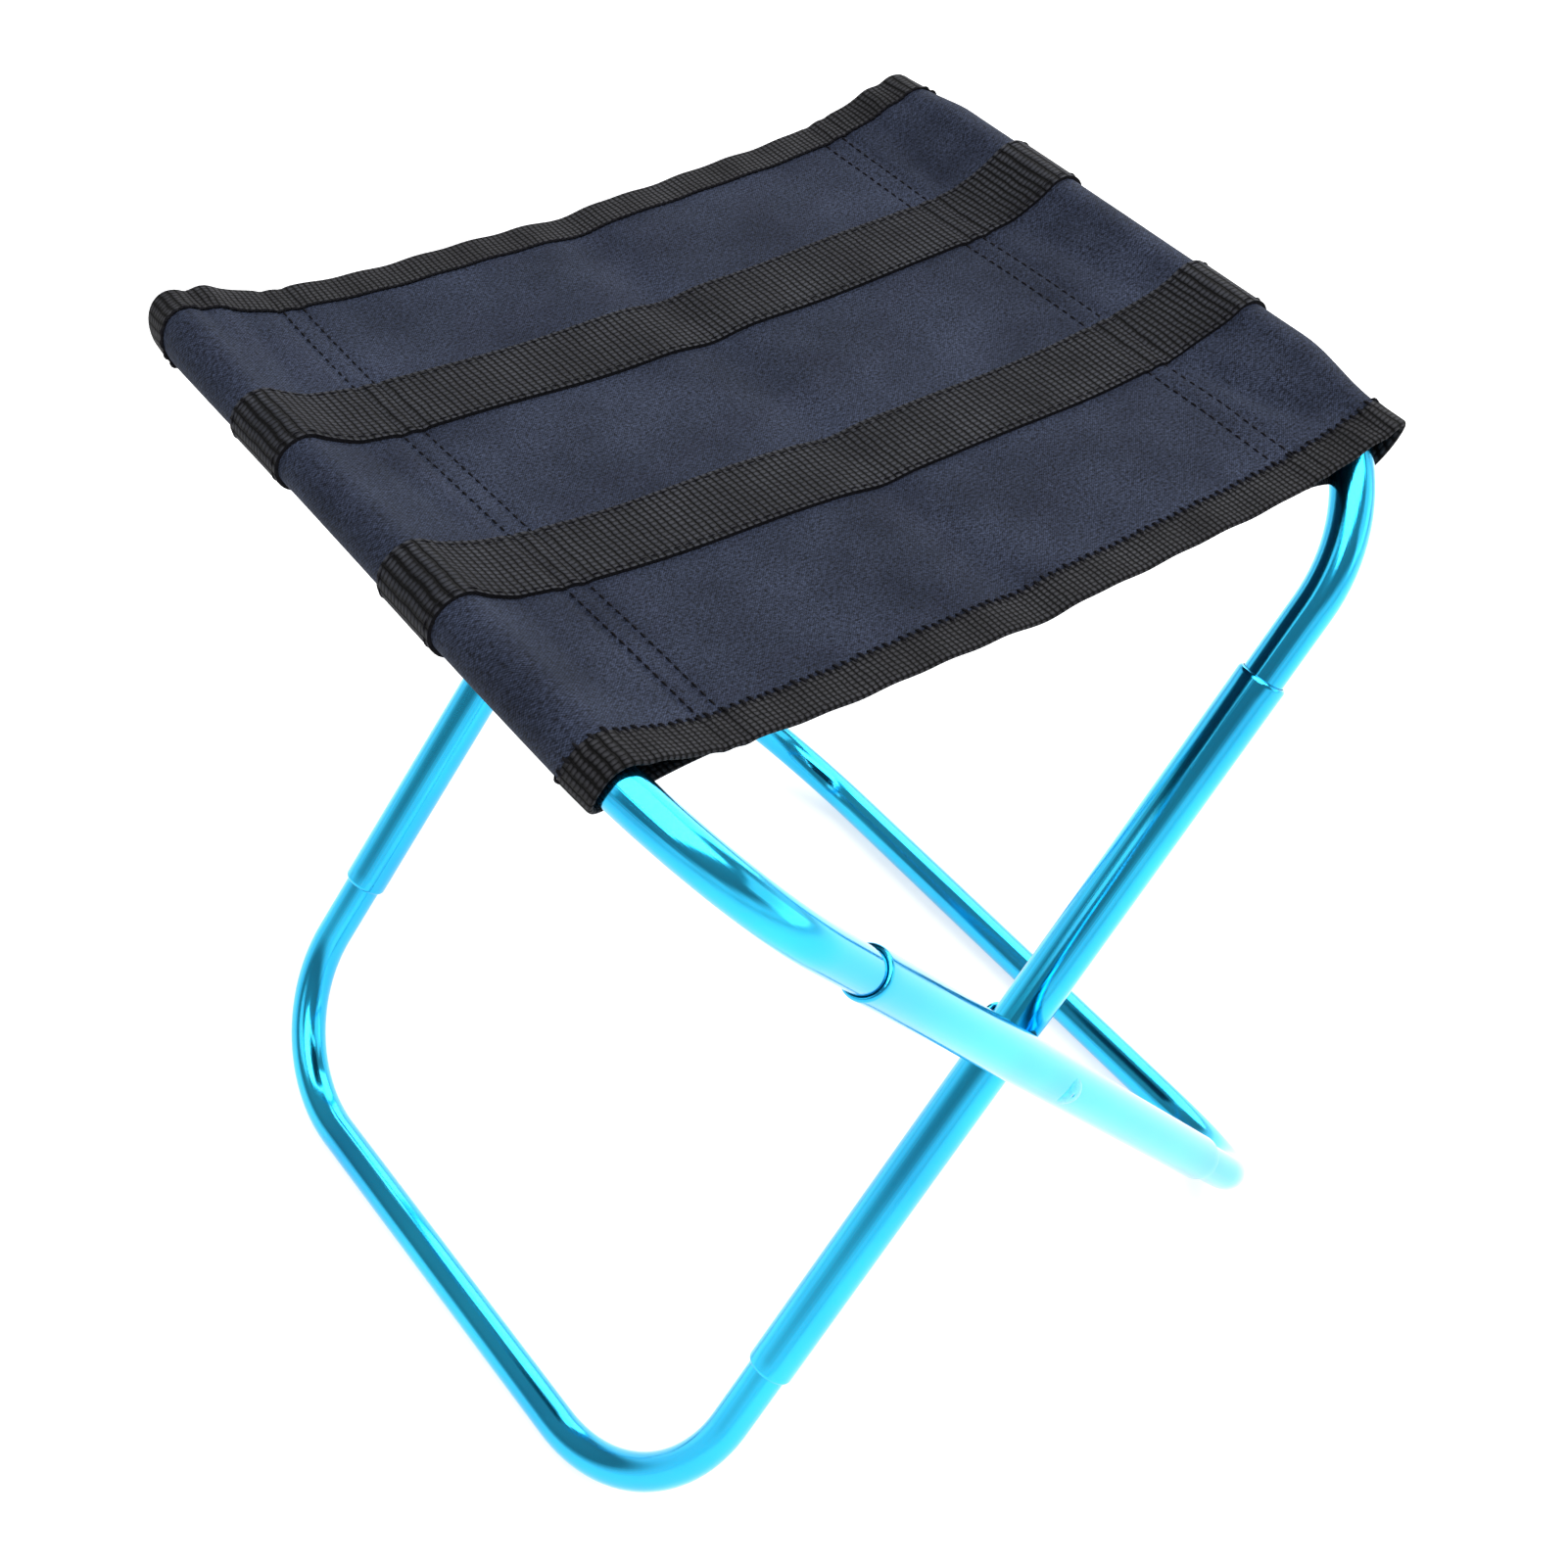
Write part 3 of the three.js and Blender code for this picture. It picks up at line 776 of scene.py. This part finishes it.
def add_tape(letter, which):
    """The binding: over the top, round the cut edge and back along the underside, as one closed strip."""
    side = SIDES[letter]
    inward = 1 if which == "front" else -1
    edge_v = 0.0 if which == "front" else 1.0
    u1 = u_grid(1.0)
    fold = CLOTH / 2 + TAPE
    middle = -CLOTH / 2
    path = [(distance, fold) for distance in np.linspace(TAPE_WIDTH, 0.5, 8)]
    path += [(0.5 - (fold + 0.2) * math.sin(t), fold * math.cos(t)) for t in np.linspace(0, math.pi, 9)[1:-1]]
    path += [(distance, -fold) for distance in np.linspace(0.5, TAPE_WIDTH - 0.6, 8)]
    run = np.concatenate([[0], np.cumsum(np.hypot(*np.diff(np.array(path), axis=0).T))])
    run -= run[len(run) // 2]
    outer, inner, pattern = [], [], []
    for (distance, height), along in zip(path, run):
        v = edge_v + inward * width_in_v(side, u1, max(distance, 0.0))
        points, normal = cloth_surface(side, u1, v), cloth_normal(side, u1, v)
        out = np.array([0.0, -inward * max(-distance, 0.0), 0.0])
        reach = np.array([0.0, -inward * max(-distance, 0.0) * 0.45, 0.0])
        outer.append(points + normal * (middle + height) + out)
        inner.append(points + normal * (middle + height * (CLOTH / 2 + 0.04) / fold) + reach)
        pattern.append(np.stack([side * u1, np.full_like(u1, along + TAPE_PICK / 2)], -1))
    outer, inner, pattern = np.array(outer), np.array(inner), np.array(pattern)
    n, m = outer.shape[:2]
    count = n * m
    faces = grid_faces(n, m) + [f[::-1] for f in grid_faces(n, m, start=count)]
    kinds = [0] * len(faces)
    ids = [c for c in range(m)] + [r * m + m - 1 for r in range(1, n)]
    ids += [(n - 1) * m + c for c in range(m - 2, -1, -1)] + [r * m for r in range(n - 2, 0, -1)]
    for a, b in zip(ids, ids[1:] + ids[:1]):
        faces.append([a, b, count + b, count + a])
        kinds.append(1)
    whole = np.concatenate([outer.reshape(-1, 3), inner.reshape(-1, 3)])
    flat = np.concatenate([pattern.reshape(-1, 2)] * 2)
    tape = make_mesh(f"{which}_edge_tape_{letter}", whole, faces, TAPE_FACE, flat, "weave", kinds)
    weld_and_orient(tape)
    tape.data.set_sharp_from_angle(angle=math.radians(50))
    finish_piece(tape, bend_with_seat(letter), [f"{which}_binding_{letter}"])
    return tape


def stitches(name, letter, starts, ends, lift, radius, replaced=()):
    """Short threads laid from each start to each end, as (u, v) pairs on the cloth."""
    side = SIDES[letter]
    steps, sides = 5, 6
    t = np.linspace(0, 1, steps)
    points, faces = [], []
    for (u0, v0), (u1, v1) in zip(starts, ends):
        u, v = lerp(u0, u1, t), lerp(v0, v1, t)
        centre, normal = cloth_surface(side, u, v), cloth_normal(side, u, v)
        arch = np.sin(np.pi * t) * radius * 1.3 - radius * 0.4
        centre = centre + normal * (lift + arch)[:, None]
        tangent = np.gradient(centre, axis=0)
        tangent /= np.linalg.norm(tangent, axis=1)[:, None]
        third = np.cross(tangent, normal)
        angle = np.arange(sides) * 2 * np.pi / sides
        fat = radius * np.sqrt(np.clip(1 - (2 * t - 1) ** 4, 0.12, 1))
        ring = np.cos(angle)[None, :, None] * normal[:, None] + np.sin(angle)[None, :, None] * third[:, None]
        start = len(points) * 1
        points.extend((centre[:, None] + ring * fat[:, None, None]).reshape(-1, 3))
        faces += grid_faces(steps, sides, close_columns=True, start=start)
        faces.append([start + i for i in range(sides)])
        faces.append([start + (steps - 1) * sides + i for i in range(sides)][::-1])
    obj = make_mesh(name, points, faces, THREAD)
    weld_and_orient(obj)
    return finish_piece(obj, bend_with_seat(letter), list(replaced))


def add_hem_stitches(letter):
    """Two rows of running stitch along each hem."""
    side = SIDES[letter]
    starts, ends = [], []
    pitch, length = 2.9, 2.2
    for row in HEM_ROWS:
        u = row * TOP / (BAR_X - CLOTH_R * 0.5)
        front, rear = edges_at(side, np.array([u]))
        span = float((rear - front)[0])
        for i in range(int((span - 6) / pitch)):
            y = 3 + i * pitch
            starts.append((u, y / span))
            ends.append((u, (y + length) / span))
    stitches(f"hem_stitching_{letter}", letter, starts, ends, 0.02, 0.24)


def add_tape_stitches(letter, which):
    """Bold overcast stitches over the front tape's inner edge, and at the rear's a thick corded line of thread, partly
    real thread and partly painted shade under the raised edge.
    """
    side = SIDES[letter]
    starts, ends = [], []
    pitch = 2.15 if which == "front" else 1.9
    for i in range(int((TOP + WRAP * 0.8) / pitch)):
        u = (i + 0.5) * pitch
        reach = float(width_in_v(side, np.array([u]), 1.0)[0])
        if which == "front":
            wander = 0.25 * math.sin(i * 2.4)
            starts.append((u - 0.1, (TAPE_WIDTH - 1.2) * reach))
            ends.append((u + 0.1, (TAPE_WIDTH + 1.3 + wander) * reach))
        else:
            # rear: overlapping stitches make one continuous dark cord, partly real thread and partly painted shade
            # along the tape's raised inner edge
            starts.append((u - pitch * 0.55, 1 - (TAPE_WIDTH + 0.15) * reach))
            ends.append((u + pitch * 0.55, 1 - (TAPE_WIDTH + 0.25) * reach))
    if which == "front":
        stitches(f"front_tape_stitching_{letter}", letter, starts, ends, 0.25, 0.36)
    else:
        stitches(f"rear_tape_thread_and_shade_line_{letter}", letter, starts, ends, 0.12, 0.42)


def add_strap_stitches(letter, which):
    """A row of running stitch close to each edge of a strap."""
    side = SIDES[letter]
    starts, ends = [], []
    pitch, length = 2.9, 2.3
    for across in (-STRAP_WIDTH / 2 + 1.2, STRAP_WIDTH / 2 - 1.2):
        for i in range(int((TOP + WRAP * 0.8) / pitch)):
            u = np.array([(i + 0.2) * pitch, (i + 0.2) * pitch + length])
            v = strap_v(side, which, u) + width_in_v(side, u, across)
            starts.append((u[0], v[0]))
            ends.append((u[1], v[1]))
    stitches(f"{which}_strap_stitching_{letter}", letter, starts, ends, WEBBING + 0.02, 0.17)


for letter in SIDES:
    add_cloth(letter)
    for which in ("front", "rear"):
        add_strap(letter, which)
        add_tape(letter, which)
        add_tape_stitches(letter, which)
        add_strap_stitches(letter, which)
    add_hem_stitches(letter)


# ---------------------------------------------------------------- floor, lights and camera


def add_floor():
    size = 6000.0
    corners = [(-size, -size, -0.3), (size, -size, -0.3), (size, size, -0.3), (-size, size, -0.3)]
    floor = make_mesh("studio_floor", corners, [[0, 1, 2, 3]], [floor_material()])


def add_light(name, place, target, size, power, colour=(1, 1, 1)):
    data = bpy.data.lights.new(name, "AREA")
    data.shape = "RECTANGLE"
    data.size, data.size_y = size
    data.energy = power
    data.color = colour
    light = bpy.data.objects.new(name, data)
    bpy.context.scene.collection.objects.link(light)
    light.location = place
    light.rotation_euler = (Vector(target) - Vector(place)).to_track_quat("-Z", "Y").to_euler()


def add_world():
    """A dim room with a bright low horizon, as a white sweep gives."""
    world = bpy.data.worlds.new("studio")
    bpy.context.scene.world = world
    world.use_nodes = True
    tree = world.node_tree
    place = tree.nodes.new("ShaderNodeTexCoord")
    split = tree.nodes.new("ShaderNodeSeparateXYZ")
    ramp = tree.nodes.new("ShaderNodeValToRGB")
    tree.links.new(place.outputs["Generated"], split.inputs[0])
    tree.links.new(split.outputs[2], ramp.inputs[0])
    tree.links.new(ramp.outputs[0], tree.nodes["Background"].inputs[0])
    elements = ramp.color_ramp.elements
    while len(elements) < 4:
        elements.new(0.5)
    for element, (at, grey) in zip(elements, ((0.0, 1.0), (0.10, 1.0), (0.30, 0.22), (0.75, 0.30))):
        element.position = at
        element.color = rgb(grey, grey, grey * 1.03)
    tree.nodes["Background"].inputs[1].default_value = 1.25


def add_camera():
    """The photograph's viewpoint: 40 degrees round to the left of the front and 45 degrees up."""
    azimuth, elevation, roll = math.radians(39.65), math.radians(45.04), math.radians(3.54)
    place = Vector((-0.2713, -0.3385, 0.5761))
    ahead = Vector((math.sin(azimuth) * math.cos(elevation), math.cos(azimuth) * math.cos(elevation), -math.sin(elevation)))
    level = Vector((math.cos(azimuth), -math.sin(azimuth), 0))
    up = level.cross(ahead)
    right = level * math.cos(roll) + up * math.sin(roll)
    upward = up * math.cos(roll) - level * math.sin(roll)
    data = bpy.data.cameras.new("photo_view")
    data.lens = 53.41
    data.sensor_width = 36.0
    data.clip_start = 0.01
    camera = bpy.data.objects.new("photo_view", data)
    bpy.context.scene.collection.objects.link(camera)
    axes = Matrix((right, upward, -ahead)).transposed().to_4x4()
    camera.matrix_world = Matrix.Translation(place) @ axes
    bpy.context.scene.camera = camera


add_floor()
add_world()
CENTRE = (0.0, 0.0, 0.12)


def softbox(name, azimuth, elevation, distance, size, radiance):
    """An area light seen from the stool in a direction, with the brightness it shows in a reflection."""
    a, e = math.radians(azimuth), math.radians(elevation)
    ahead = (math.cos(e) * math.sin(a), math.cos(e) * math.cos(a), math.sin(e))
    place = tuple(c + distance * d for c, d in zip(CENTRE, ahead))
    add_light(name, place, CENTRE, size, radiance * math.pi * size[0] * size[1])


softbox("key_softbox", 65, 33, 1.5, (1.5, 1.3), 3.1)
softbox("top_softbox", 180, 76, 1.45, (2.0, 1.3), 4.4)
softbox("fill_softbox", 135, 18, 1.6, (1.3, 0.9), 1.1)
softbox("left_strip", -80, 36, 1.5, (0.5, 0.7), 1.3)
add_camera()
bpy.context.scene.view_settings.view_transform = "Standard"
